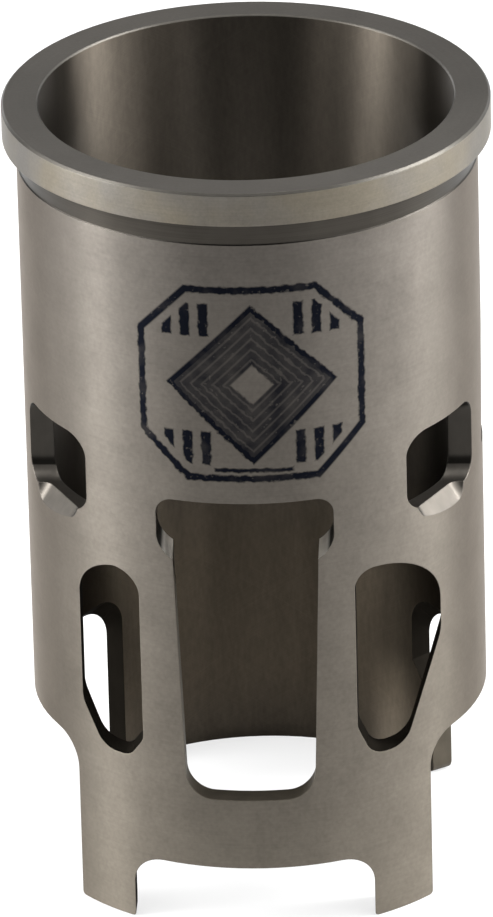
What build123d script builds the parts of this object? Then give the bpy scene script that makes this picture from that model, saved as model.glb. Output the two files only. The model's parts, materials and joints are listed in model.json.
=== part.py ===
from build123d import *
from math import cos, radians, sin, sqrt, tan
import os

# Cylinder liner of a two-stroke engine: one turned and milled cast-iron sleeve.
# Millimetres, +Z up, the feet of the skirt on z = 0, the bore on the Z axis.
# The intake side faces -Y, the exhaust side +Y. Azimuths are measured from -Y towards +X.

# ---- turned body ----
BORE_RADIUS = 33.0
WALL = 3.66
TOTAL_HEIGHT = 130.0
FLANGE_HEIGHT = 5.46
FLANGE_STEP = 2.17
FLANGE_CHAMFER = 0.37
BORE_TOP_CHAMFER = 0.25
RELIEF_DEPTH = 0.18
RELIEF_HEIGHT = 4.24
RELIEF_SHOULDER = 0.15
LEAD_IN_DEPTH = 0.4
LEAD_IN_HEIGHT = 2.4
CUTTER_CLEARANCE = 12.0
SIDE_SHARE = 0.999

BARREL_RADIUS = BORE_RADIUS + WALL
FLANGE_RADIUS = BARREL_RADIUS + FLANGE_STEP
FLANGE_UNDERSIDE = TOTAL_HEIGHT - FLANGE_HEIGHT
RELIEF_BOTTOM = FLANGE_UNDERSIDE - RELIEF_HEIGHT
REACH = FLANGE_RADIUS + CUTTER_CLEARANCE

# ---- intake window, cut straight in from the front ----
INTAKE_SILL = 23.4
INTAKE_SILL_HALF_WIDTH = 10.2
INTAKE_SILL_CORNER = 4.5
INTAKE_SHELF = 67.2
INTAKE_SHELF_HALF_WIDTH = 11.6
POCKET_HEIGHT = 8.6
POCKET_HALF_WIDTH = 14.05
POCKET_TOP_CORNER = 2.75
POCKET_BORE_CORNER = 3.6
POCKET_MOUTH_DROP = 2.9
POCKET_MOUTH_CORNER = 5.0
POCKET_MOUTH_CORNER_WIDTH = 3.0
POCKET_TOP = INTAKE_SHELF + POCKET_HEIGHT

# ---- slot to the right of the intake window (+X) ----
RIGHT_SLOT_INNER = 17.1
RIGHT_SLOT_WIDTH = 13.1
RIGHT_SLOT_BOTTOM = 28.9
RIGHT_SLOT_HEIGHT = 33.0
RIGHT_SLOT_WAIST_HEIGHT = 17.1
RIGHT_SLOT_FOOT_SHIFT = 2.2
RIGHT_SLOT_FOOT_WIDTH = 5.2
RIGHT_SLOT_HEEL_HEIGHT = 5.5
RIGHT_SLOT_TOP_INNER_CORNER = 3.1
RIGHT_SLOT_TOP_OUTER_CORNER = 9.9
RIGHT_SLOT_WAIST_CORNER = 8.0
RIGHT_SLOT_FOOT_CORNER = 3.5
RIGHT_SLOT_HEEL_CORNER = 3.2

RIGHT_SLOT_OUTER = RIGHT_SLOT_INNER + RIGHT_SLOT_WIDTH
RIGHT_SLOT_TOP = RIGHT_SLOT_BOTTOM + RIGHT_SLOT_HEIGHT
RIGHT_SLOT_WAIST = RIGHT_SLOT_BOTTOM + RIGHT_SLOT_WAIST_HEIGHT
RIGHT_SLOT_HEEL = RIGHT_SLOT_BOTTOM + RIGHT_SLOT_HEEL_HEIGHT
RIGHT_SLOT_FOOT_INNER = RIGHT_SLOT_INNER + RIGHT_SLOT_FOOT_SHIFT
RIGHT_SLOT_FOOT_OUTER = RIGHT_SLOT_FOOT_INNER + RIGHT_SLOT_FOOT_WIDTH

# ---- slot to the left of the intake window (-X) ----
LEFT_SLOT_INNER = 17.2
LEFT_SLOT_WIDTH = 9.95
LEFT_SLOT_BOTTOM = 28.8
LEFT_SLOT_HEIGHT = 33.05
LEFT_SLOT_APEX_SHIFT = 4.2
LEFT_SLOT_INNER_CROWN = 4.05
LEFT_SLOT_OUTER_CROWN = 7.25
LEFT_SLOT_INNER_BULGE = 1.15
LEFT_SLOT_OUTER_BULGE = 1.75
LEFT_SLOT_WAIST_HEIGHT = 7.1
LEFT_SLOT_FOOT_SHIFT = 2.3
LEFT_SLOT_FOOT_WIDTH = 4.2
LEFT_SLOT_HEEL_HEIGHT = 3.4
LEFT_SLOT_WAIST_CORNER = 5.0
LEFT_SLOT_FOOT_CORNER = 3.5
LEFT_SLOT_FOOT_INNER_CORNER = 2.2
LEFT_SLOT_HEEL_CORNER = 2.5

LEFT_SLOT_OUTER = LEFT_SLOT_INNER + LEFT_SLOT_WIDTH
LEFT_SLOT_APEX = LEFT_SLOT_INNER + LEFT_SLOT_APEX_SHIFT
LEFT_SLOT_TOP = LEFT_SLOT_BOTTOM + LEFT_SLOT_HEIGHT
LEFT_SLOT_INNER_SPRING = LEFT_SLOT_TOP - LEFT_SLOT_INNER_CROWN
LEFT_SLOT_OUTER_SPRING = LEFT_SLOT_TOP - LEFT_SLOT_OUTER_CROWN
LEFT_SLOT_WAIST = LEFT_SLOT_BOTTOM + LEFT_SLOT_WAIST_HEIGHT
LEFT_SLOT_HEEL = LEFT_SLOT_BOTTOM + LEFT_SLOT_HEEL_HEIGHT
LEFT_SLOT_FOOT_INNER = LEFT_SLOT_INNER + LEFT_SLOT_FOOT_SHIFT
LEFT_SLOT_FOOT_OUTER = LEFT_SLOT_FOOT_INNER + LEFT_SLOT_FOOT_WIDTH

# ---- side transfer ports, one each side, cut straight in from the side ----
SIDE_PORT_FRONT = -26.4
SIDE_PORT_WIDTH = 16.3
SIDE_PORT_FLOOR = 68.9
SIDE_PORT_HEIGHT = 13.6
SIDE_PORT_CORNER = 3.5
RAMP_AZIMUTH = 62.0
RAMP_SLOPE = 55.0
RAMP_LAND = 1.8
RAMP_FRONT = -9.6
RAMP_BACK = 4.0
RAMP_CORNER = 2.2
RAMP_LENGTH = 8.0
RAMP_DEPTH = 4.0

SIDE_PORT_BACK = SIDE_PORT_FRONT + SIDE_PORT_WIDTH
SIDE_PORT_ROOF = SIDE_PORT_FLOOR + SIDE_PORT_HEIGHT
RAMP_EDGE = BORE_RADIUS + RAMP_LAND

# ---- main transfer ports behind them, one each side ----
MAIN_PORT_FRONT = -3.1
MAIN_PORT_WIDTH = 16.6
MAIN_PORT_FRONT_LEAN = 2.9
MAIN_PORT_FLOOR = 70.3
MAIN_PORT_HEIGHT = 20.0
MAIN_PORT_CORNER = 3.5
MAIN_PORT_FLOOR_CORNER = 1.0

MAIN_PORT_BACK = MAIN_PORT_FRONT + MAIN_PORT_WIDTH
MAIN_PORT_FRONT_TOP = MAIN_PORT_FRONT + MAIN_PORT_FRONT_LEAN
MAIN_PORT_ROOF = MAIN_PORT_FLOOR + MAIN_PORT_HEIGHT

# ---- exhaust port, at the back ----
EXHAUST_HALF_WIDTH = 21.0
EXHAUST_FLOOR = 71.5
EXHAUST_HEIGHT = 26.5
EXHAUST_CORNER = 8.0

EXHAUST_ROOF = EXHAUST_FLOOR + EXHAUST_HEIGHT

# ---- skirt ----
TONGUE_HALF_DEPTH = 23.37
CUTOUT_CEILING = 28.0
CUTOUT_BACK_AZIMUTH = 133.5
CUTOUT_FRONT_CORNER = 5.3
CUTOUT_BACK_CORNER = 5.0
CUTOUT_FRONT_CORNER_TURN = 10.0
CUTOUT_BACK_CORNER_TURN = 8.0
CUTOUT_BEVEL_RISE = 3.4
CORNER_OVERRUN = 1.5
CORNER_STROKE = 7.0
STEP_AZIMUTH = 125.0
STEP_SHOULDER = 12.5
STEP_RISE = 7.5
STEP_WIDTH = 5.7
STEP_CORNER = 3.0
NOTCH_HALF_WIDTH = 19.25
NOTCH_TOP = 11.3
NOTCH_CORNER = 4.9
FOOT_CORNER = 0.6
BACK_FOOT_CORNER = 1.8


def point_at(azimuth, radius, z=0.0):
    """A point at an azimuth measured from -Y towards +X."""
    angle = radians(azimuth)
    return Vector(radius * sin(angle), -radius * cos(angle), z)


def fitted_radii(points, radii):
    """The corner radii, made smaller together where a side is too short for its two corners."""
    count = len(points)
    sides = [points[(i + 1) % count] - points[i] for i in range(count)]
    turns = [sides[i - 1].get_angle(sides[i]) for i in range(count)]
    takes = [radius * tan(radians(turn / 2)) for radius, turn in zip(radii, turns)]
    room = []
    for i in range(count):
        taken = takes[i] + takes[(i + 1) % count]
        room.append(min(1.0, SIDE_SHARE * sides[i].length / taken) if taken > 0 else 1.0)
    return [radii[i] * min(room[i - 1], room[i]) for i in range(count)]


def rounded(corners):
    """A flat face from (across, up, corner radius) triples."""
    points = [Vector(a, b, 0) for a, b, _ in corners]
    radii = fitted_radii(points, [radius for _, _, radius in corners])
    face = Polygon(*points, align=None)
    for point, radius in zip(points, radii):
        if radius > 0:
            face = fillet(face.vertices().sort_by_distance(point)[0], radius)
    return face


def swept(placed, direction):
    """A placed face carried along a straight direction."""
    return Solid.extrude(placed.faces()[0], direction)


def cut_from_front(face):
    """Material removed by a straight cut along Y through the front wall."""
    return swept(Plane.XZ * face, Vector(0, -REACH, 0))


def cut_from_right(face):
    """Material removed by a straight cut along X through the right wall."""
    return swept(Plane.YZ * face, Vector(REACH, 0, 0))


def outward_plane(azimuth, radius, z=0.0):
    """A plane facing outwards: local x runs rearwards on the right side, local y is up."""
    outward = point_at(azimuth, 1.0)
    across = point_at(azimuth + 90.0, 1.0)
    return Plane(origin=point_at(azimuth, radius, z), x_dir=across, z_dir=outward)


def turned_body():
    profile = Polygon(
        (BORE_RADIUS + LEAD_IN_DEPTH, 0),
        (BARREL_RADIUS, 0),
        (BARREL_RADIUS, RELIEF_BOTTOM),
        (BARREL_RADIUS - RELIEF_DEPTH, RELIEF_BOTTOM + RELIEF_SHOULDER),
        (BARREL_RADIUS - RELIEF_DEPTH, FLANGE_UNDERSIDE),
        (FLANGE_RADIUS, FLANGE_UNDERSIDE),
        (FLANGE_RADIUS, TOTAL_HEIGHT - FLANGE_CHAMFER),
        (FLANGE_RADIUS - FLANGE_CHAMFER, TOTAL_HEIGHT),
        (BORE_RADIUS + BORE_TOP_CHAMFER, TOTAL_HEIGHT),
        (BORE_RADIUS, TOTAL_HEIGHT - BORE_TOP_CHAMFER),
        (BORE_RADIUS, LEAD_IN_HEIGHT),
        align=None,
    )
    return revolve(Plane.XZ * profile, Axis.Z)


def pocket_section(y, bottom, corner_width, corner_height):
    """Section of the wide upper part of the intake window, on a plane across Y."""
    side = POCKET_HALF_WIDTH
    top = POCKET_TOP - POCKET_TOP_CORNER
    spring = bottom + corner_height
    foot = side - corner_width
    bend = sqrt(0.5)
    mid_x = foot + corner_width * bend
    mid_z = spring - corner_height * bend
    outline = [
        Line((-side, top), (-side, spring)),
        ThreePointArc((-side, spring), (-mid_x, mid_z), (-foot, bottom)),
        Line((-foot, bottom), (foot, bottom)),
        ThreePointArc((foot, bottom), (mid_x, mid_z), (side, spring)),
        Line((side, spring), (side, top)),
        Line((side, top), (-side, top)),
    ]
    return Plane.XZ.offset(-y) * make_face(outline)


def intake_window():
    low = INTAKE_SILL_HALF_WIDTH
    high = INTAKE_SHELF_HALF_WIDTH
    shelf_top = INTAKE_SHELF + POCKET_BORE_CORNER
    narrow = rounded([
        (-low, INTAKE_SILL, INTAKE_SILL_CORNER),
        (low, INTAKE_SILL, INTAKE_SILL_CORNER),
        (high, INTAKE_SHELF, 0),
        (high, shelf_top, 0),
        (-high, shelf_top, 0),
        (-high, INTAKE_SHELF, 0),
    ])
    wide = rounded([
        (-POCKET_HALF_WIDTH, shelf_top, 0),
        (POCKET_HALF_WIDTH, shelf_top, 0),
        (POCKET_HALF_WIDTH, POCKET_TOP, POCKET_TOP_CORNER),
        (-POCKET_HALF_WIDTH, POCKET_TOP, POCKET_TOP_CORNER),
    ])
    # the shelves under the wide part slope down towards the outside
    bore_y = -sqrt(BORE_RADIUS**2 - POCKET_HALF_WIDTH**2)
    mouth_y = -BARREL_RADIUS
    inner = pocket_section(bore_y, INTAKE_SHELF, POCKET_BORE_CORNER, POCKET_BORE_CORNER)
    outer = pocket_section(
        mouth_y,
        INTAKE_SHELF - POCKET_MOUTH_DROP,
        POCKET_MOUTH_CORNER_WIDTH,
        POCKET_MOUTH_CORNER,
    )
    shelves = loft([inner, outer], ruled=True)
    return cut_from_front(narrow) + cut_from_front(wide) + shelves


def right_slot():
    return cut_from_front(rounded([
        (RIGHT_SLOT_INNER, RIGHT_SLOT_TOP, RIGHT_SLOT_TOP_INNER_CORNER),
        (RIGHT_SLOT_OUTER, RIGHT_SLOT_TOP, RIGHT_SLOT_TOP_OUTER_CORNER),
        (RIGHT_SLOT_OUTER, RIGHT_SLOT_WAIST, RIGHT_SLOT_WAIST_CORNER),
        (RIGHT_SLOT_FOOT_OUTER, RIGHT_SLOT_BOTTOM, RIGHT_SLOT_FOOT_CORNER),
        (RIGHT_SLOT_FOOT_INNER, RIGHT_SLOT_BOTTOM, RIGHT_SLOT_HEEL_CORNER),
        (RIGHT_SLOT_INNER, RIGHT_SLOT_HEEL, RIGHT_SLOT_HEEL_CORNER),
    ]))


def left_slot():
    inner, outer = -LEFT_SLOT_INNER, -LEFT_SLOT_OUTER
    apex = (-LEFT_SLOT_APEX, LEFT_SLOT_TOP)
    inner_spring = (inner, LEFT_SLOT_INNER_SPRING)
    outer_spring = (outer, LEFT_SLOT_OUTER_SPRING)
    crown = make_face([
        Line(outer_spring, inner_spring),
        SagittaArc(inner_spring, apex, -LEFT_SLOT_INNER_BULGE),
        SagittaArc(apex, outer_spring, -LEFT_SLOT_OUTER_BULGE),
    ])
    body = rounded([
        (inner, LEFT_SLOT_INNER_SPRING, 0),
        (outer, LEFT_SLOT_OUTER_SPRING, 0),
        (outer, LEFT_SLOT_WAIST, LEFT_SLOT_WAIST_CORNER),
        (-LEFT_SLOT_FOOT_OUTER, LEFT_SLOT_BOTTOM, LEFT_SLOT_FOOT_CORNER),
        (-LEFT_SLOT_FOOT_INNER, LEFT_SLOT_BOTTOM, LEFT_SLOT_FOOT_INNER_CORNER),
        (inner, LEFT_SLOT_HEEL, LEFT_SLOT_HEEL_CORNER),
    ])
    return cut_from_front(crown) + cut_from_front(body)


def side_port():
    port = cut_from_right(rounded([
        (SIDE_PORT_FRONT, SIDE_PORT_FLOOR, SIDE_PORT_CORNER),
        (SIDE_PORT_BACK, SIDE_PORT_FLOOR, SIDE_PORT_CORNER),
        (SIDE_PORT_BACK, SIDE_PORT_ROOF, SIDE_PORT_CORNER),
        (SIDE_PORT_FRONT, SIDE_PORT_ROOF, SIDE_PORT_CORNER),
    ]))
    # a trough running down and outwards from the floor, open at the outside
    outward = point_at(RAMP_AZIMUTH, 1.0)
    down = outward * cos(radians(RAMP_SLOPE)) - Vector(0, 0, sin(radians(RAMP_SLOPE)))
    lift = outward * sin(radians(RAMP_SLOPE)) + Vector(0, 0, cos(radians(RAMP_SLOPE)))
    start = point_at(RAMP_AZIMUTH, RAMP_EDGE, SIDE_PORT_FLOOR)
    across = point_at(RAMP_AZIMUTH + 90.0, 1.0)
    frame = Plane(origin=start, x_dir=across, z_dir=across.cross(lift))
    section = frame * rounded([
        (RAMP_FRONT, 0, RAMP_CORNER),
        (RAMP_BACK, 0, RAMP_CORNER),
        (RAMP_BACK, RAMP_DEPTH, 0),
        (RAMP_FRONT, RAMP_DEPTH, 0),
    ])
    return port + swept(section, down * RAMP_LENGTH)


def main_port():
    return cut_from_right(rounded([
        (MAIN_PORT_FRONT, MAIN_PORT_FLOOR, MAIN_PORT_FLOOR_CORNER),
        (MAIN_PORT_BACK, MAIN_PORT_FLOOR, MAIN_PORT_CORNER),
        (MAIN_PORT_BACK, MAIN_PORT_ROOF, MAIN_PORT_CORNER),
        (MAIN_PORT_FRONT_TOP, MAIN_PORT_ROOF, MAIN_PORT_CORNER),
    ]))


def exhaust_port():
    face = rounded([
        (-EXHAUST_HALF_WIDTH, EXHAUST_FLOOR, EXHAUST_CORNER),
        (EXHAUST_HALF_WIDTH, EXHAUST_FLOOR, EXHAUST_CORNER),
        (EXHAUST_HALF_WIDTH, EXHAUST_ROOF, EXHAUST_CORNER),
        (-EXHAUST_HALF_WIDTH, EXHAUST_ROOF, EXHAUST_CORNER),
    ])
    return swept(Plane.XZ * face, Vector(0, REACH, 0))


def angle_of_side(ratio):
    """The angle in degrees whose sine is the ratio."""
    return Vector(1, 0, 0).get_angle(Vector(sqrt(1 - ratio**2), ratio, 0))


def ceiling_corner(azimuth, end_azimuth, corner, rise):
    """Rounded end of a cut-out's ceiling, cut inwards and upwards by the rise through the wall."""
    slope = rise / WALL
    end = BARREL_RADIUS * sin(radians(end_azimuth - azimuth))
    sag = BARREL_RADIUS * (1 - cos(radians(end_azimuth - azimuth)))
    start_radius = BARREL_RADIUS + CORNER_OVERRUN
    top = CUTOUT_CEILING - slope * (CORNER_OVERRUN + sag)
    low = top - 2 * corner if rise > 0 else -CUTTER_CLEARANCE
    face = rounded([(end, low, 0), (-end, low, 0), (-end, top, 0), (end, top, corner)])
    inward = point_at(azimuth, -1.0) + Vector(0, 0, slope)
    return swept(outward_plane(azimuth, start_radius) * face, inward * CORNER_STROKE)


def side_cutout():
    # the front end is cut straight in along X, square to the front tongue
    front = cut_from_right(rounded([
        (-TONGUE_HALF_DEPTH, -CUTTER_CLEARANCE, 0),
        (0, -CUTTER_CLEARANCE, 0),
        (0, CUTOUT_CEILING, 0),
        (-TONGUE_HALF_DEPTH, CUTOUT_CEILING, CUTOUT_FRONT_CORNER),
    ]))
    # the rest is cut round the axis, its ceiling bevelled upwards towards the bore
    slope = CUTOUT_BEVEL_RISE / WALL
    inner = BORE_RADIUS - WALL
    ring = Polygon(
        (inner, -CUTTER_CLEARANCE),
        (REACH, -CUTTER_CLEARANCE),
        (REACH, CUTOUT_CEILING),
        (BARREL_RADIUS, CUTOUT_CEILING),
        (inner, CUTOUT_CEILING + slope * (BARREL_RADIUS - inner)),
        align=None,
    )
    front_end = 90.0 - angle_of_side(TONGUE_HALF_DEPTH / BARREL_RADIUS)
    front_corner = front_end + CUTOUT_FRONT_CORNER_TURN / 2
    back_corner = CUTOUT_BACK_AZIMUTH - CUTOUT_BACK_CORNER_TURN / 2
    sector_start = front_end + CUTOUT_FRONT_CORNER_TURN
    sector_end = CUTOUT_BACK_AZIMUTH - CUTOUT_BACK_CORNER_TURN
    sector = revolve(Plane.XZ * ring, Axis.Z, sector_end - sector_start)
    sector = Rot(0, 0, sector_start - 90.0) * sector
    pieces = [
        sector,
        ceiling_corner(front_corner, front_end, CUTOUT_FRONT_CORNER, CUTOUT_BEVEL_RISE),
        ceiling_corner(back_corner, CUTOUT_BACK_AZIMUTH, CUTOUT_BACK_CORNER, CUTOUT_BEVEL_RISE),
        ceiling_corner(back_corner, CUTOUT_BACK_AZIMUTH, CUTOUT_BACK_CORNER, 0),
    ]
    cutter = front
    for piece in pieces:
        cutter += piece
    return cutter


def right_step():
    """Metal left standing below the cut-out beside the right back tongue."""
    plane = outward_plane(STEP_AZIMUTH, BORE_RADIUS - WALL)
    top = STEP_SHOULDER + STEP_RISE
    face = rounded([
        (0, -CUTTER_CLEARANCE, 0),
        (0, STEP_SHOULDER, STEP_CORNER),
        (STEP_WIDTH, top, STEP_CORNER),
        (2 * STEP_WIDTH, top, 0),
        (2 * STEP_WIDTH, -CUTTER_CLEARANCE, 0),
    ])
    return swept(plane * face, point_at(STEP_AZIMUTH, 4 * WALL))


def front_notch():
    return cut_from_front(rounded([
        (-NOTCH_HALF_WIDTH, -CUTTER_CLEARANCE, 0),
        (NOTCH_HALF_WIDTH, -CUTTER_CLEARANCE, 0),
        (NOTCH_HALF_WIDTH, NOTCH_TOP, NOTCH_CORNER),
        (-NOTCH_HALF_WIDTH, NOTCH_TOP, NOTCH_CORNER),
    ]))


def round_feet(body):
    """Round the lower corners of the tongues."""
    ends = body.edges().filter_by(GeomType.LINE)
    ends = [edge for edge in ends if abs(edge.center().Z) < 0.01 and edge.length > WALL / 2]
    front = [edge for edge in ends if edge.center().Y < 0]
    back = [edge for edge in ends if edge.center().Y > 0]
    body = fillet(front, FOOT_CORNER)
    back = [
        min(body.edges(), key=lambda edge: (edge.center() - old.center()).length)
        for old in back
    ]
    return fillet(back, BACK_FOOT_CORNER)


def both_sides(cutter):
    return cutter + mirror(cutter, Plane.YZ)


def liner():
    body = turned_body()
    body -= intake_window()
    body -= right_slot()
    body -= left_slot()
    body -= both_sides(side_port())
    body -= both_sides(main_port())
    body -= exhaust_port()
    body -= mirror(side_cutout(), Plane.YZ)
    body -= side_cutout() - right_step()
    body -= front_notch()
    return round_feet(body)


cylinder_liner = liner()

os.makedirs("parts", exist_ok=True)
export_step(cylinder_liner, "parts/cylinder_liner.step")
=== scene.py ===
import json
from math import atan2, cos, pi, radians, sin, tan
from typing import NamedTuple

import bpy
from mathutils import Matrix, Vector

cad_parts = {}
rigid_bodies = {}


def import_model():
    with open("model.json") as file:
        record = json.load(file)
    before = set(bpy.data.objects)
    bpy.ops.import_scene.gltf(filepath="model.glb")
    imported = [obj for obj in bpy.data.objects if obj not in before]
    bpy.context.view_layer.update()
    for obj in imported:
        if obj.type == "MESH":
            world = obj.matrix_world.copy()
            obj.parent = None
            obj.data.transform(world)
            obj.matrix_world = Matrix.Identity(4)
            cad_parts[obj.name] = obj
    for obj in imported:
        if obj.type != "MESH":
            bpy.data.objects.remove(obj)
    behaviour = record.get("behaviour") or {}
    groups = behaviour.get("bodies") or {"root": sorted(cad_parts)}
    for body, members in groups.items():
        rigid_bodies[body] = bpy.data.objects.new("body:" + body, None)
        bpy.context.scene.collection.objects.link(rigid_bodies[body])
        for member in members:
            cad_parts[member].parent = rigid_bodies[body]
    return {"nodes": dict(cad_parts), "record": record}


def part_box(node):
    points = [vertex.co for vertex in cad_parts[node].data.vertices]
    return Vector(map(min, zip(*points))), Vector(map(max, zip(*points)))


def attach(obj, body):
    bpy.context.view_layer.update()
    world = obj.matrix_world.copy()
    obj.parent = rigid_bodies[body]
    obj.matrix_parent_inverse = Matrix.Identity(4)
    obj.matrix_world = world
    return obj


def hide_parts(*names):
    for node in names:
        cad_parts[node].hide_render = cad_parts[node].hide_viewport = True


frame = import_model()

bl_info = {
    "name": "Cylinder Liner",
    "version": (1, 0, 0),
    "blender": (4, 5, 0),
    "location": "View3D > Sidebar > Liner",
    "description": "Finishes a ported cast-iron cylinder liner and sets its studio",
    "category": "Object",
}

NODE = "cylinder_liner"
RECORD = frame["record"]
MOUNTS = {mount["name"]: mount for mount in RECORD["mounts"]}
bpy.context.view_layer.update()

MM = 0.001

# ---- turned sizes, from the frame ----
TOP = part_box(NODE)[1].z
BORE_RADIUS = MOUNTS["bore"]["dims"]["r_mm"] * MM
BARREL_RADIUS = MOUNTS["barrel"]["dims"]["r_mm"] * MM
FLANGE_RADIUS = MOUNTS["flange_rim"]["dims"]["r_mm"] * MM
FLANGE_UNDERSIDE = MOUNTS["flange_seat"]["pos_m"][2]
RELIEF_BOTTOM = MOUNTS["barrel"]["dims"]["length_mm"] * MM

# ---- where the milled forms lie: heights from the feet, widths from the middle ----
STEP_HEIGHT = 14 * MM
STEP_AZIMUTH = radians(125)
SILL_HEIGHT = 20 * MM
SKIRT_HEIGHT = 31.5 * MM
SLOT_HEIGHT = 63 * MM
RAMP_HEIGHT = 66 * MM
RAMP_SPAN = 9 * MM
WINDOW_HALF_WIDTH = 16 * MM
SHELF_REACH = 14 * MM

# ---- how closely a face has to lie and look to be told from the others ----
RADIUS_SLACK = 0.25 * MM
LEAD_IN_SLACK = 0.5 * MM
HEIGHT_SLACK = 1 * MM
STEP_SLACK = radians(1)
OUTWARD = 0.99
INWARD = 0.95
DEAD_LEVEL = 0.9999
LEVEL = 0.999
NEARLY_LEVEL = 0.9
CHAMFERED = 0.6
RAMP_RISE = 0.2

MERGE_DISTANCE = 0.001 * MM
SMOOTH_ANGLE = radians(30)
ALONG_AXIS = 0.25  # the anisotropic rotation that draws highlights out along the axis


# ---- shader helpers ----
class Wire:
    """One shader socket, used in Python expressions that add Math nodes."""

    def __init__(self, graph, socket):
        self.graph = graph
        self.socket = socket

    def math(self, operation, *values):
        return self.graph.node("ShaderNodeMath", {"operation": operation}, dict(enumerate(values)))

    def __add__(self, other):
        return self.math("ADD", self, other)

    __radd__ = __add__

    def __sub__(self, other):
        return self.math("SUBTRACT", self, other)

    def __rsub__(self, other):
        return self.math("SUBTRACT", other, self)

    def __mul__(self, other):
        return self.math("MULTIPLY", self, other)

    __rmul__ = __mul__

    def __truediv__(self, other):
        return self.math("DIVIDE", self, other)

    def __rtruediv__(self, other):
        return self.math("DIVIDE", other, self)

    def __abs__(self):
        return self.math("ABSOLUTE", self)

    def root(self):
        return self.math("SQRT", self)

    def fraction(self):
        """What is left over past a whole number."""
        return self.math("FRACT", self)

    def higher(self, other):
        return self.math("MAXIMUM", self, other)

    def clamp(self):
        """Held between nought and one."""
        return self.graph.node("ShaderNodeClamp", {}, {"Value": self})


class Graph:
    """A material's or the world's node tree, filled from Python."""

    MIX_LOW, MIX_HIGH, MIX_RESULT = 6, 7, 2  # a Mix node's sockets for colours

    def __init__(self, owner):
        owner.use_nodes = True
        self.tree = owner.node_tree
        self.tree.nodes.clear()

    def node(self, kind, settings, inputs, output=0):
        """Add a node: its settings first, then its sockets' values and links."""
        node = self.tree.nodes.new(kind)
        for name, value in settings.items():
            if name == "stops":
                self.set_stops(node.color_ramp, value)
            else:
                setattr(node, name, value)
        for name, value in inputs.items():
            socket = node.inputs[name]
            if isinstance(value, Wire):
                self.tree.links.new(value.socket, socket)
            else:
                socket.default_value = value
        return Wire(self, node.outputs[output]) if node.outputs else None

    @staticmethod
    def set_stops(ramp, stops):
        while len(ramp.elements) < len(stops):
            ramp.elements.new(1.0)
        for element, (place, value) in zip(ramp.elements, stops):
            element.position = place
            element.color = (value, value, value, 1.0)

    def mix(self, factor, low, high):
        """Mix two colours."""
        inputs = {"Factor": factor, self.MIX_LOW: low, self.MIX_HIGH: high}
        return self.node("ShaderNodeMix", {"data_type": "RGBA"}, inputs, self.MIX_RESULT)

    def vector(self, operation, *values):
        return self.node("ShaderNodeVectorMath", {"operation": operation}, dict(enumerate(values)))

    def parts(self, vector):
        """The X, Y and Z of a vector."""
        return [self.node("ShaderNodeSeparateXYZ", {}, {0: vector}, output=i) for i in range(3)]

    def combine(self, x, y, z):
        return self.node("ShaderNodeCombineXYZ", {}, {0: x, 1: y, 2: z})

    def noise(self, vector, scale, detail=2.0, roughness=0.5):
        inputs = {"Vector": vector, "Scale": scale, "Detail": detail, "Roughness": roughness}
        return self.node("ShaderNodeTexNoise", {}, inputs)

    def ramp(self, factor, *stops):
        """A grey ramp; each stop is its place and its value."""
        return self.node("ShaderNodeValToRGB", {"stops": stops}, {"Fac": factor})

    def place(self):
        """Object coordinates, in metres."""
        return self.node("ShaderNodeTexCoord", {}, {}, output="Object")


class Surface(Graph):
    """The graph of one material, with the liner's own coordinates."""

    def __init__(self, name):
        self.material = bpy.data.materials.new(name)
        super().__init__(self.material)
        self.spot = self.place()
        self.x, self.y, self.z = self.parts(self.spot)

    def stretched(self, across, along):
        """Coordinates scaled apart, to draw a pattern out across or along the axis."""
        return self.vector("MULTIPLY", self.spot, (across, across, along))

    def azimuth(self):
        """The angle round the axis, from the front and in radians."""
        return self.x.math("ARCTAN2", self.x, self.y * -1)

    def from_axis(self):
        return (self.x * self.x + self.y * self.y).root()

    def wound(self, lead_angle):
        """Coordinates twisted about the axis, so that a pattern runs round as a helix."""
        twist = self.z * (1 / (BORE_RADIUS * tan(lead_angle)))
        inputs = {"Vector": self.spot, "Angle": twist}
        return self.node("ShaderNodeVectorRotate", {"rotation_type": "Z_AXIS"}, inputs)

    def tinted(self, colour, *shades):
        """The colour, made lighter or darker by each shade."""
        total = shades[0]
        for further in shades[1:]:
            total = total * further
        inputs = {0: colour, "Scale": total}
        return self.node("ShaderNodeVectorMath", {"operation": "SCALE"}, inputs)

    def bumped(self, height, depth, edge_break):
        """The normal turned by a height map and over the broken edges."""
        edge = self.node("ShaderNodeBevel", {"samples": 8}, {"Radius": edge_break})
        inputs = {"Height": height, "Distance": depth, "Normal": edge}
        return self.node("ShaderNodeBump", {}, inputs)

    def finish(self, **sockets):
        """Bare metal, its sockets given by name with an underscore for each space."""
        inputs = {name.replace("_", " "): value for name, value in sockets.items()}
        inputs["Metallic"] = 1.0
        shader = self.node("ShaderNodeBsdfPrincipled", {"distribution": "GGX"}, inputs)
        self.node("ShaderNodeOutputMaterial", {}, {"Surface": shader})
        return self.material


def rgba(colour):
    return (*colour, 1.0)


def shade(pattern, amount):
    """A pattern from nought to one as a shade about one."""
    return pattern * (2 * amount) + (1 - amount)


def inside(distance, softness=0.3):
    """One where a distance is below nought, with a soft edge."""
    return (0.5 - distance / softness).clamp()


# ---- the ink mark ----
# Shares of half the mark's width
FRAME_TOP = 0.91
FRAME_CORNER = 1.05
DIAMOND_REACH = 0.5
HEART_REACH = 0.13
BARS_TOP = 0.75
BARS_CORNER = 0.92
STROKE_DROP = 0.8
STROKE_REACH = 0.34

# Millimetres
INK_BLEED = 0.4
BAR_PITCH = 3
BAR_HALF_WIDTH = 0.8
BARS_MIDDLE = 10.5
BARS_HALF_SPAN = 4.3
BARS_FOOT = 8.2
STROKE_HALF_WIDTH = 0.35
RULING_PITCH = 1.25

DIAMOND_LINE = 0.8  # a share of the frame's line
RULING_HALF_WIDTH = 0.12  # a share of the pitch
RULING_DEPTH = 0.25


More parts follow.
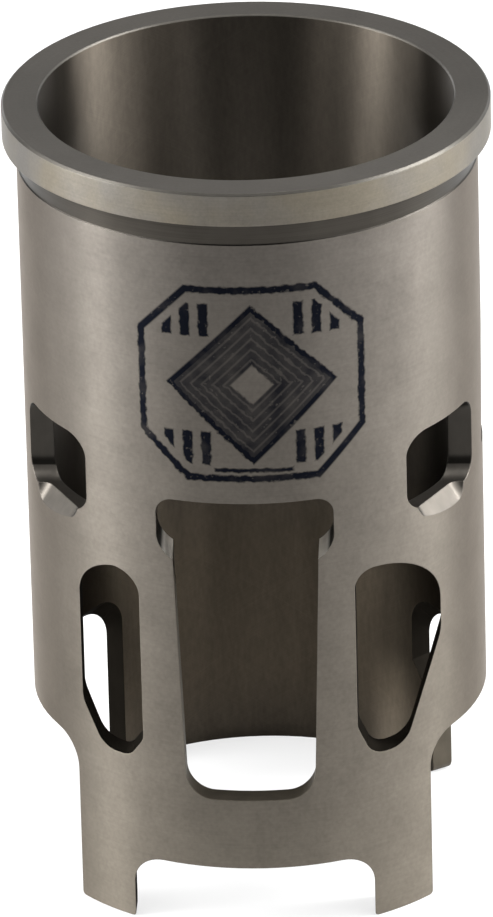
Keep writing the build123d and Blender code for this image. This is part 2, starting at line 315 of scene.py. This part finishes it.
def ink_mark(iron, mark):
    """How much ink lies on the outside: a framed diamond with bars, all in millimetres."""
    bleed = iron.noise(iron.spot, 900.0, detail=3.0) * (2 * INK_BLEED) - INK_BLEED
    across = abs((iron.azimuth() - mark.azimuth) * (BARREL_RADIUS / MM) + bleed)
    above = (iron.z - mark.height) / MM + bleed
    up = abs(above)
    slant = (across + up) * cos(pi / 4)
    half = mark.size / MM / 2
    line = mark.line / MM / 2

    edge = (across - half).higher(up - FRAME_TOP * half).higher(slant - FRAME_CORNER * half)
    diamond = slant - DIAMOND_REACH * half
    bars = abs((across / BAR_PITCH).fraction() - 0.5) * BAR_PITCH - BAR_HALF_WIDTH
    bars = bars.higher(abs(across - BARS_MIDDLE) - BARS_HALF_SPAN)
    bars = bars.higher(BARS_FOOT - up).higher(up - BARS_TOP * half)
    bars = bars.higher(slant - BARS_CORNER * half)
    stroke = abs(above + STROKE_DROP * half) - STROKE_HALF_WIDTH
    stroke = stroke.higher(across - STROKE_REACH * half)
    printed = inside(abs(edge + line) - line)
    printed = printed.higher(inside(abs(diamond) - DIAMOND_LINE * line))
    printed = printed.higher(inside(bars)).higher(inside(stroke))

    tone = iron.ramp(iron.noise(iron.spot, 220.0, detail=3.0), (0.35, 0.72), (0.65, 0.95))
    ruling = abs((slant / RULING_PITCH).fraction() - 0.5) - RULING_HALF_WIDTH
    ruled = tone - inside(ruling, softness=0.15) * RULING_DEPTH
    wash = inside(diamond) * inside(HEART_REACH * half - slant) * ruled
    patchy = iron.ramp(iron.noise(iron.spot, 260.0, detail=4.0), (0.3, 0.86), (0.5, 1.0))
    specks = iron.ramp(iron.noise(iron.spot, 1500.0), (0.27, 0.6), (0.36, 1.0))
    return printed.higher(wash) * patchy * specks


# ---- finishes ----
def ground_outside(finish):
    """The ground barrel, with the ink mark on its front."""
    mark = bpy.context.scene.liner_mark
    iron = Surface("ground_outside")
    mottle = iron.noise(iron.spot, 110.0, detail=4.0, roughness=0.75)
    grain = iron.noise(iron.spot, 1500.0)
    lines = iron.noise(iron.stretched(60.0, 3200.0), 1.0, roughness=0.6)
    cast = iron.mix(iron.z / TOP, rgba(finish.foot_colour), rgba(finish.barrel_colour))
    bare = iron.tinted(cast, shade(mottle, 0.25), shade(grain, 0.15), shade(lines, 0.08))
    return iron.finish(
        Base_Color=iron.mix(ink_mark(iron, mark), bare, rgba(mark.colour)),
        Specular_Tint=rgba(finish.edge_tint),
        Roughness=iron.noise(iron.spot, 160.0) * 0.1 + (finish.barrel_roughness - 0.05),
        Anisotropic=finish.grind_stretch,
        Anisotropic_Rotation=ALONG_AXIS,
        Normal=iron.bumped(lines + grain * 0.5, 0.003 * MM, finish.edge_break),
    )


def turned_relief(finish):
    """The dark band under the flange, with the rings that the tool left."""
    iron = Surface("turned_relief")
    rings = iron.noise(iron.stretched(30.0, 5200.0), 1.0, roughness=0.7)
    mottle = iron.noise(iron.spot, 220.0, detail=3.0)
    return iron.finish(
        Base_Color=iron.tinted(finish.relief_colour, shade(mottle, 0.2), shade(rings, 0.3)),
        Roughness=0.38,
        Anisotropic=0.7,
        Anisotropic_Rotation=ALONG_AXIS,
        Normal=iron.bumped(rings, 0.008 * MM, finish.edge_break),
    )


def turned_rim(finish):
    """The flange's rim, with rings and warmer patches."""
    iron = Surface("turned_rim")
    rings = iron.noise(iron.stretched(60.0, 4200.0), 1.0, roughness=0.7)
    grain = iron.noise(iron.spot, 2200.0)
    mottle = iron.noise(iron.spot, 180.0, detail=3.0)
    patches = iron.ramp(iron.noise(iron.spot, 70.0, detail=3.0), (0.4, 0.0), (0.6, 1.0))
    cast = iron.mix(patches, rgba(finish.rim_colour), rgba(finish.rim_stain))
    return iron.finish(
        Base_Color=iron.tinted(cast, shade(mottle, 0.2), shade(rings, 0.12), shade(grain, 0.15)),
        Roughness=0.5,
        Anisotropic=0.6,
        Anisotropic_Rotation=ALONG_AXIS,
        Normal=iron.bumped(rings + grain, 0.004 * MM, finish.edge_break),
    )


def hone_marks(iron, lead_angle):
    """Fine scratches that run round the bore at a lead angle."""
    drawn_out = iron.vector("MULTIPLY", iron.wound(lead_angle), (1.0, 1.0, 0.02))
    return iron.noise(drawn_out, 2600.0, roughness=0.7)


def honed_bore(finish):
    """The bore, cross-hatched by the hone, with a band low down that is rougher and painted paler:
    painted light from below.
    """
    iron = Surface("honed_bore")
    rising = hone_marks(iron, finish.hatch_angle)
    falling = hone_marks(iron, -finish.hatch_angle)
    hatch = rising.higher(falling)
    stain = iron.noise(iron.stretched(1.0, 0.1), 160.0, detail=4.0)
    grain = iron.noise(iron.stretched(1600.0, 500.0), 1.0, detail=3.0)
    # painted light: a band low in the bore is painted paler, as if lit from below; the same band
    # also makes it rougher
    painted_light_band = iron.ramp(iron.z / TOP, (0.0, 0.2), (0.1, 1.0), (0.27, 1.0), (0.4, 0.0))
    cast = iron.mix(painted_light_band, rgba(finish.bore_colour), rgba(finish.bore_painted_light_colour))
    return iron.finish(
        Base_Color=iron.tinted(cast, shade(stain, 0.35), shade(hatch, 0.2), shade(grain, 0.22)),
        Roughness=painted_light_band * 0.15 + 0.42,
        Anisotropic=1.0,
        Anisotropic_Rotation=ALONG_AXIS,
        Normal=iron.bumped(hatch, 0.0015 * MM, finish.edge_break),
    )


def faced(name, colour, finish, roughness):
    """A face or chamfer turned across the axis, with rings round it."""
    iron = Surface(name)
    rings = iron.noise(iron.combine(iron.from_axis() * 5000.0, iron.x * 30.0, iron.y * 30.0), 1.0)
    grain = iron.noise(iron.spot, 1800.0)
    mottle = iron.noise(iron.spot, 150.0, detail=3.0)
    shades = shade(mottle, 0.12), shade(rings, 0.08), shade(grain, 0.12)
    return iron.finish(
        Base_Color=iron.tinted(colour, *shades),
        Roughness=roughness,
        Anisotropic=0.3,
        Anisotropic_Rotation=ALONG_AXIS,
        Normal=iron.bumped(rings + grain, 0.005 * MM, finish.edge_break),
    )


def turned_face(finish):
    return faced("turned_face", finish.face_colour, finish, roughness=0.62)


def turned_edge(finish):
    return faced("turned_edge", finish.edge_colour, finish, roughness=0.4)


def milled(name, colour, finish, roughness, gleam=1.0):
    """A milled wall with the marks of the cutter; gleam is its shine at a low angle."""
    iron = Surface(name)
    passes = iron.noise(iron.stretched(900.0, 120.0), 1.0)
    mottle = iron.noise(iron.spot, 300.0, detail=3.0)
    return iron.finish(
        Base_Color=iron.tinted(colour, shade(mottle, 0.25), shade(passes, 0.15)),
        Specular_Tint=rgba([gleam] * 3),
        Roughness=roughness,
        Normal=iron.bumped(passes, 0.006 * MM, 2 * finish.edge_break),
    )


def milled_port(finish):
    return milled("milled_port", finish.port_colour, finish, roughness=0.3)


def milled_ramp(finish):
    return milled("milled_ramp", finish.ramp_colour, finish, roughness=0.42)


def milled_window(finish):
    return milled("milled_window", finish.window_colour, finish, roughness=0.55)


def milled_cut(finish):
    # painted shade: the near-black colour and the dull shine at a low angle stand in for the shade
    # on the slots' and the skirt's cut faces
    return milled("milled_cut", finish.cut_colour, finish, roughness=0.75, gleam=0.3)


def milled_shelf(finish):
    """The window's shelves, painted bright as a painted reflection and sharp-edged, with painted
    shade in their outer corners.
    """
    iron = Surface("milled_shelf")
    passes = iron.noise(iron.stretched(900.0, 120.0), 1.0)
    # painted shade: the colour goes nearly black towards the shelves' outer corners, standing in
    # for the shade there
    painted_corner_shade = iron.ramp(abs(iron.x) / SHELF_REACH, (0.92, 1.0), (0.96, 0.03))
    return iron.finish(
        Base_Color=iron.tinted(finish.shelf_colour_painted_bright, shade(passes, 0.15), painted_corner_shade),
        Roughness=0.36,
        Normal=iron.bumped(passes, 0.006 * MM, 0.2 * finish.edge_break),
    )


# The finish for each kind of face that surface_of tells apart
FINISHES = {
    "outside": ground_outside,
    "relief": turned_relief,
    "rim": turned_rim,
    "bore": honed_bore,
    "face": turned_face,
    "edge": turned_edge,
    "port": milled_port,
    "ramp": milled_ramp,
    "shelf": milled_shelf,
    "window": milled_window,
    "cut": milled_cut,
}
KINDS = list(FINISHES)
ROUND_KINDS = ("outside", "relief", "rim", "bore")


# ---- what a user would change ----
def colour_of(name, description, default):
    return bpy.props.FloatVectorProperty(
        name=name, description=description, default=default, subtype="COLOR", size=3, min=0, max=1
    )


class LinerFinish(bpy.types.PropertyGroup):
    barrel_colour: colour_of("Outside", "Colour of the ground outside", (0.118, 0.107, 0.0955))
    foot_colour: colour_of("Foot", "Colour of the outside at its foot", (0.121, 0.107, 0.0875))
    edge_tint: colour_of("Edge tint", "Tint of the outside at a low angle", (1.0, 0.93, 0.86))
    relief_colour: colour_of("Relief", "Colour of the relief band", (0.046, 0.0415, 0.0355))
    rim_colour: colour_of("Flange rim", "Colour of the flange's rim", (0.144, 0.134, 0.12))
    rim_stain: colour_of("Rim stain", "Colour of the rim's patches", (0.152, 0.135, 0.106))
    bore_colour: colour_of("Bore", "Colour of the honed bore", (0.058, 0.05, 0.0405))
    # painted light: the paler colour painted low in the bore
    bore_painted_light_colour: colour_of("Painted light bore", "Colour of the bore low down", (0.108, 0.088, 0.064))
    face_colour: colour_of("Turned faces", "Colour of the level faces", (0.078, 0.0725, 0.0655))
    edge_colour: colour_of("Chamfers", "Colour of the flange's chamfers", (0.062, 0.058, 0.051))
    port_colour: colour_of("Ports", "Colour of the ports' walls", (0.034, 0.031, 0.027))
    ramp_colour: colour_of("Ramps", "Colour of the side ports' ramps", (0.088, 0.08, 0.07))
    # painted reflection: the shelves' colour is painted far brighter than the other milled walls,
    # standing in for light they reflect
    shelf_colour_painted_bright: colour_of("Shelves", "Colour of the window's shelves", (0.52, 0.49, 0.44))
    window_colour: colour_of("Window", "Colour of the window's walls", (0.082, 0.071, 0.055))
    # painted shade: near black, standing in for the shade on the cut faces
    cut_colour: colour_of("Cuts", "Colour of the slots and the skirt", (0.011, 0.0095, 0.0075))
    barrel_roughness: bpy.props.FloatProperty(
        name="Grind", description="Roughness of the ground outside", default=0.45, min=0, max=1
    )
    grind_stretch: bpy.props.FloatProperty(
        name="Grind direction", description="How far the grinding stretches a highlight",
        default=0.85, min=0, max=1,
    )
    hatch_angle: bpy.props.FloatProperty(
        name="Hone angle", description="Slope of the honing marks",
        default=radians(32), min=radians(10), max=radians(60), subtype="ANGLE",
    )
    edge_break: bpy.props.FloatProperty(
        name="Edge break", description="Radius of the broken edges",
        default=0.15 * MM, min=0, unit="LENGTH",
    )


class InkMark(bpy.types.PropertyGroup):
    azimuth: bpy.props.FloatProperty(
        name="Azimuth", description="Place of the mark round the barrel, from the front",
        default=radians(2.9), subtype="ANGLE",
    )
    height: bpy.props.FloatProperty(
        name="Height", description="Height of the mark's middle", default=96.4 * MM, unit="LENGTH"
    )
    size: bpy.props.FloatProperty(
        name="Size", description="Width of the mark", default=37 * MM, unit="LENGTH"
    )
    line: bpy.props.FloatProperty(
        name="Line", description="Width of the mark's lines", default=1.2 * MM, unit="LENGTH"
    )
    colour: colour_of("Ink", "Colour of the ink", (0.005, 0.006, 0.0095))


class StudioSettings(bpy.types.PropertyGroup):
    floor_size: bpy.props.FloatProperty(
        name="Floor", description="Side of the square floor", default=8.0, unit="LENGTH"
    )
    lamp_power: bpy.props.FloatProperty(
        name="Lamps", description="Power of the lamps, as a share of the usual", default=1.0, min=0
    )
    sky: bpy.props.FloatProperty(
        name="Ambient light", description="Strength of the light from all round",
        default=0.12, min=0,
    )
    floor_glow: bpy.props.FloatProperty(
        name="Floor glow", description="How far the floor is lifted to plain white",
        default=0.7, min=0, max=1,
    )


# ---- the liner ----
def deselect():
    bpy.ops.object.select_all(action="DESELECT")


def merged_copy(node):
    """A copy of a CAD node that stands alone, with its loose triangles joined."""
    deselect()
    node.select_set(True)
    bpy.context.view_layer.objects.active = node
    bpy.ops.object.duplicate()
    piece = bpy.context.view_layer.objects.active
    bpy.ops.object.parent_clear(type="CLEAR_KEEP_TRANSFORM")
    for key in list(piece.keys()):
        del piece[key]
    bpy.ops.object.mode_set(mode="EDIT")
    bpy.ops.mesh.select_all(action="SELECT")
    bpy.ops.mesh.remove_doubles(threshold=MERGE_DISTANCE)
    bpy.ops.object.mode_set(mode="OBJECT")
    return piece


def outward_at(place):
    """The direction straight away from the axis at a place."""
    return Vector((place.x, place.y, 0)).normalized()


def turned_kind(normal, middle, radii):
    """What a face is if it was turned, ground or honed, and otherwise None."""
    facing = normal.dot(outward_at(middle))

    def lies_on(radius):
        return facing > OUTWARD and all(abs(r - radius) < RADIUS_SLACK for r in radii)

    if lies_on(FLANGE_RADIUS):
        return "rim"
    if lies_on(BARREL_RADIUS):
        return "relief" if middle.z > RELIEF_BOTTOM else "outside"
    if facing < -INWARD and max(radii) < BORE_RADIUS + LEAD_IN_SLACK:
        return "bore"
    if abs(normal.z) > CHAMFERED and middle.z > FLANGE_UNDERSIDE - HEIGHT_SLACK:
        return "face" if abs(normal.z) > LEVEL else "edge"
    if abs(normal.z) > LEVEL and middle.z < HEIGHT_SLACK:
        return "face"
    if normal.z > NEARLY_LEVEL and abs(middle.z - RELIEF_BOTTOM) < HEIGHT_SLACK:
        return "relief"
    return None


def milled_kind(normal, middle):
    """What a face of the ports, the window, the slots or the skirt's cuts is."""
    azimuth = atan2(middle.x, -middle.y)
    if abs(azimuth - STEP_AZIMUTH) < STEP_SLACK and middle.z < STEP_HEIGHT:
        return "window"
    in_front = middle.y < 0
    in_window = in_front and abs(middle.x) < WINDOW_HALF_WIDTH and middle.z > SILL_HEIGHT
    if normal.z > RAMP_RISE and abs(middle.z - RAMP_HEIGHT) < RAMP_SPAN / 2:
        return "shelf" if in_window else "ramp"
    if in_window and middle.z < SLOT_HEIGHT:
        return "window"
    if middle.z < SKIRT_HEIGHT or (in_front and middle.z < SLOT_HEIGHT):
        return "cut"
    return "port"


def surface_of(polygon, vertices):
    """Which finish a face has, from its place and the way it looks."""
    radii = [vertices[i].co.xy.length for i in polygon.vertices]
    turned = turned_kind(polygon.normal, polygon.center, radii)
    return turned or milled_kind(polygon.normal, polygon.center)


def true_normals(mesh):
    """Make the round surfaces shade as true cylinders and the level faces as flat."""
    bpy.ops.mesh.customdata_custom_splitnormals_clear()
    bpy.ops.object.shade_smooth_by_angle(angle=SMOOTH_ANGLE)
    normals = [corner.vector.copy() for corner in mesh.corner_normals]
    for polygon in mesh.polygons:
        is_round = KINDS[polygon.material_index] in ROUND_KINDS
        for index in polygon.loop_indices:
            outward = outward_at(mesh.vertices[mesh.loops[index].vertex_index].co)
            facing = polygon.normal.dot(outward)
            if is_round and abs(facing) > OUTWARD:
                normals[index] = outward if facing > 0 else -outward
            elif abs(polygon.normal.z) > DEAD_LEVEL:
                normals[index] = polygon.normal.copy()
    mesh.normals_split_custom_set(normals)


class LINER_OT_body(bpy.types.Operator):
    """Build the liner with its finishes"""

    bl_idname = "liner.body"
    bl_label = "Liner body"

    def execute(self, context):
        piece = merged_copy(frame["nodes"][NODE])
        piece.name = "liner"
        mesh = piece.data
        mesh.materials.clear()
        for make in FINISHES.values():
            mesh.materials.append(make(context.scene.liner_finish))
        for polygon in mesh.polygons:
            polygon.material_index = KINDS.index(surface_of(polygon, mesh.vertices))
        true_normals(mesh)
        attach(piece, "root")
        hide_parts(NODE)
        return {"FINISHED"}


# ---- the studio ----
CAMERA_AZIMUTH = radians(3.2)
CAMERA_ELEVATION = radians(25.112)
CAMERA_ROLL = radians(1.4933)
CAMERA_DISTANCE = 1.80449
CAMERA_LENS = 440.62  # in millimetres, as is the sensor
SENSOR_HEIGHT = 36.0
CLIP_END = 50.0
AIM_HEIGHT = 66.566 * MM
AIM_SHIFT = -1.352 * MM

FLOOR_COLOUR = (0.85, 0.85, 0.85)
WHITE = (1.0, 1.0, 1.0)
SHADOW_REACH = 30 * MM  # from the flange to where reflections show the floor plain white


class Lamp(NamedTuple):
    """A soft box; degrees from the camera's azimuth and from level, metres and watts."""

    name: str
    azimuth: float
    width: float
    power: float
    elevation: float = 28
    height: float = 0.6
    distance: float = 0.7


LAMPS = (
    Lamp("left_key", -79, 0.24, 8.2),
    Lamp("left_side", -102, 0.28, 2.8),
    Lamp("left_rear", -150, 0.2, 1.2),
    Lamp("left_front", -50, 0.24, 1.4),
    Lamp("right_key", 95, 0.37, 7.4),
    Lamp("right_high", 98, 0.08, 4.4, elevation=42, height=0.5),
    Lamp("right_side", 66, 0.2, 1.7),
    Lamp("right_front", 42, 0.3, 1.4),
    Lamp("right_rear", 142, 0.4, 1.1),
    Lamp("top_light", 0, 0.5, 3.6, elevation=89, height=0.5, distance=0.8),
)


def looking_in(azimuth, elevation):
    """The turn of a camera or lamp that looks at the liner from an azimuth and elevation."""
    return Matrix.Rotation(azimuth, 4, "Z") @ Matrix.Rotation(pi / 2 - elevation, 4, "X")


def set_back(aim, turn, distance):
    """The move that puts a turned camera or lamp at a distance from what it looks at."""
    return Matrix.Translation(aim + turn @ Vector((0, 0, distance)))


def put_camera():
    bpy.ops.object.camera_add()
    camera = bpy.context.object
    camera.name = "camera"
    data = camera.data
    data.sensor_fit = "VERTICAL"
    data.sensor_height = SENSOR_HEIGHT
    data.lens = CAMERA_LENS
    data.clip_end = CLIP_END
    aim = Vector((AIM_SHIFT * cos(CAMERA_AZIMUTH), AIM_SHIFT * sin(CAMERA_AZIMUTH), AIM_HEIGHT))
    turn = looking_in(CAMERA_AZIMUTH, CAMERA_ELEVATION)
    roll = Matrix.Rotation(-CAMERA_ROLL, 4, "Z")
    camera.matrix_world = set_back(aim, turn, CAMERA_DISTANCE) @ turn @ roll
    bpy.context.scene.camera = camera


def put_lamp(kind, share):
    """Place a lamp that looks at the liner's middle, at a share of its usual power."""
    bpy.ops.object.light_add(type="AREA")
    lamp = bpy.context.object
    lamp.name = kind.name
    lamp.data.shape = "RECTANGLE"
    lamp.data.size = kind.width
    lamp.data.size_y = kind.height
    lamp.data.energy = kind.power * share
    lamp.visible_camera = False
    turn = looking_in(CAMERA_AZIMUTH + radians(kind.azimuth), radians(kind.elevation))
    lamp.matrix_world = set_back(Vector((0, 0, TOP / 2)), turn, kind.distance) @ turn


def light_world(studio):
    world = bpy.data.worlds.new("studio_air")
    bpy.context.scene.world = world
    graph = Graph(world)
    inputs = {"Color": rgba(WHITE), "Strength": studio.sky}
    background = graph.node("ShaderNodeBackground", {}, inputs)
    graph.node("ShaderNodeOutputWorld", {}, {"Surface": background})


def pale_floor(studio):
    """A matt floor that glows for the camera, and in reflections away from the liner."""
    floor = Surface("pale_floor")
    matt = floor.node("ShaderNodeBsdfDiffuse", {}, {"Color": rgba(FLOOR_COLOUR)})
    glow = floor.node("ShaderNodeEmission", {}, {"Color": rgba(WHITE), "Strength": 1.0})
    camera, glossy, through = [
        floor.node("ShaderNodeLightPath", {}, {}, output=name)
        for name in ("Is Camera Ray", "Is Glossy Ray", "Is Transmission Ray")
    ]
    clear = ((floor.from_axis() - FLANGE_RADIUS) / SHADOW_REACH).clamp()
    lift = (camera + (glossy + through) * clear).clamp() * studio.floor_glow
    mixed = floor.node("ShaderNodeMixShader", {}, {0: lift, 1: matt, 2: glow})
    floor.node("ShaderNodeOutputMaterial", {}, {"Surface": mixed})
    return floor.material


def lay_floor(studio):
    bpy.ops.mesh.primitive_plane_add(size=studio.floor_size)
    floor = bpy.context.object
    floor.name = "floor"
    floor.data.materials.append(pale_floor(studio))


class LINER_OT_studio(bpy.types.Operator):
    """Set the floor, the lamps and the camera"""

    bl_idname = "liner.studio"
    bl_label = "Studio"

    def execute(self, context):
        studio = context.scene.liner_studio
        context.scene.view_settings.view_transform = "Standard"
        deselect()
        put_camera()
        for kind in LAMPS:
            put_lamp(kind, studio.lamp_power)
        light_world(studio)
        lay_floor(studio)
        return {"FINISHED"}


class LINER_PT_panel(bpy.types.Panel):
    """The liner's finishes and its studio"""

    bl_label = "Cylinder liner"
    bl_idname = "LINER_PT_panel"
    bl_space_type = "VIEW_3D"
    bl_region_type = "UI"
    bl_category = "Liner"

    def draw(self, context):
        layout = self.layout
        scene = context.scene
        for settings in (scene.liner_finish, scene.liner_mark, scene.liner_studio):
            for name in settings.__annotations__:
                layout.prop(settings, name)
        layout.operator(LINER_OT_body.bl_idname)
        layout.operator(LINER_OT_studio.bl_idname)


CLASSES = (LinerFinish, InkMark, StudioSettings, LINER_OT_body, LINER_OT_studio, LINER_PT_panel)


def register():
    for cls in CLASSES:
        bpy.utils.register_class(cls)
    bpy.types.Scene.liner_finish = bpy.props.PointerProperty(type=LinerFinish)
    bpy.types.Scene.liner_mark = bpy.props.PointerProperty(type=InkMark)
    bpy.types.Scene.liner_studio = bpy.props.PointerProperty(type=StudioSettings)


def unregister():
    del bpy.types.Scene.liner_studio
    del bpy.types.Scene.liner_mark
    del bpy.types.Scene.liner_finish
    for cls in reversed(CLASSES):
        bpy.utils.unregister_class(cls)


def main():
    register()
    bpy.ops.liner.body()
    bpy.ops.liner.studio()


if __name__ == "__main__":
    main()
